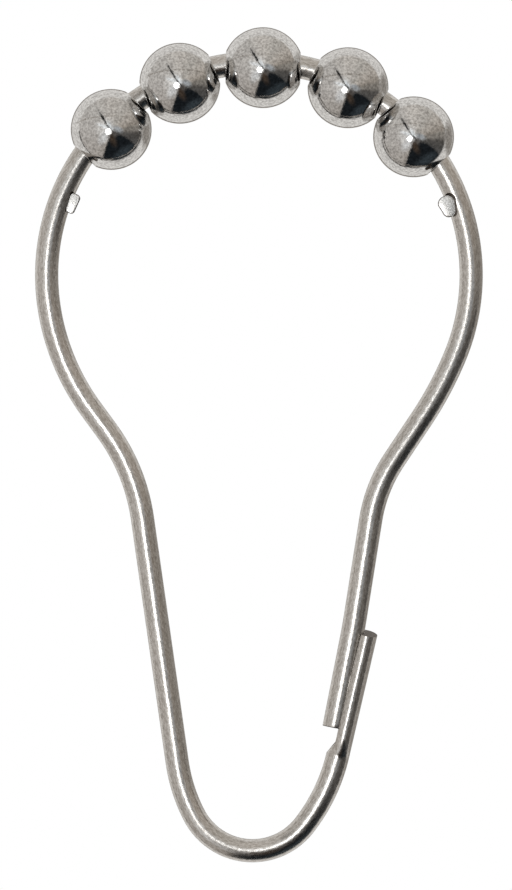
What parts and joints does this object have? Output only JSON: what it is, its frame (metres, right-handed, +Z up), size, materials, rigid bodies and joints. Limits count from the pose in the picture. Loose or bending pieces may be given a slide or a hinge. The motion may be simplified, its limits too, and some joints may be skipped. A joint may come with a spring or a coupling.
{
  "type": "shower curtain hook",
  "caption": "Keyhole-shaped steel wire hook with roller balls on its arch and a springy clasp, for hanging a curtain from a rod.",
  "frame": {"origin": "underside of the middle ball, where the hook bears on the curtain rod", "axes": "+Z up as it hangs, +Y along the rod away from the viewer, +X to the right"},
  "size_m": [0.0443, 0.008, 0.0826],
  "materials": {
    "wire": "drawn stainless spring wire, bright with fine lengthwise drawing lines",
    "balls": "pressed steel, tumbled and polished to a mirror with fine speckle"
  },
  "bodies": {
    "wire": {"wire_frame": "wire"},
    "roller_ball_1": {"roller_ball_1": "balls"},
    "roller_ball_2": {"roller_ball_2": "balls"},
    "roller_ball_3": {"roller_ball_3": "balls"},
    "roller_ball_4": {"roller_ball_4": "balls"},
    "roller_ball_5": {"roller_ball_5": "balls"}
  },
  "joints": [
    {"name": "roller_ball_1_roll", "type": "hinge", "parent": "wire", "child": "roller_ball_1", "pos_m": [-0.01502, 0, -0.00211], "axis": [0.7018, 0, 0.7123], "continuous": true},
    {"name": "roller_ball_2_roll", "type": "hinge", "parent": "wire", "child": "roller_ball_2", "pos_m": [-0.00824, 0, 0.00245], "axis": [0.9244, 0, 0.3815], "continuous": true},
    {"name": "roller_ball_3_roll", "type": "hinge", "parent": "wire", "child": "roller_ball_3", "pos_m": [0, 0, 0.004], "axis": [0.9998, 0, -0.0199], "continuous": true},
    {"name": "roller_ball_4_roll", "type": "hinge", "parent": "wire", "child": "roller_ball_4", "pos_m": [0.00841, 0, 0.00201], "axis": [0.9029, 0, -0.4298], "continuous": true},
    {"name": "roller_ball_5_roll", "type": "hinge", "parent": "wire", "child": "roller_ball_5", "pos_m": [0.01489, 0, -0.00284], "axis": [0.6662, 0, -0.7458], "continuous": true}
  ]
}
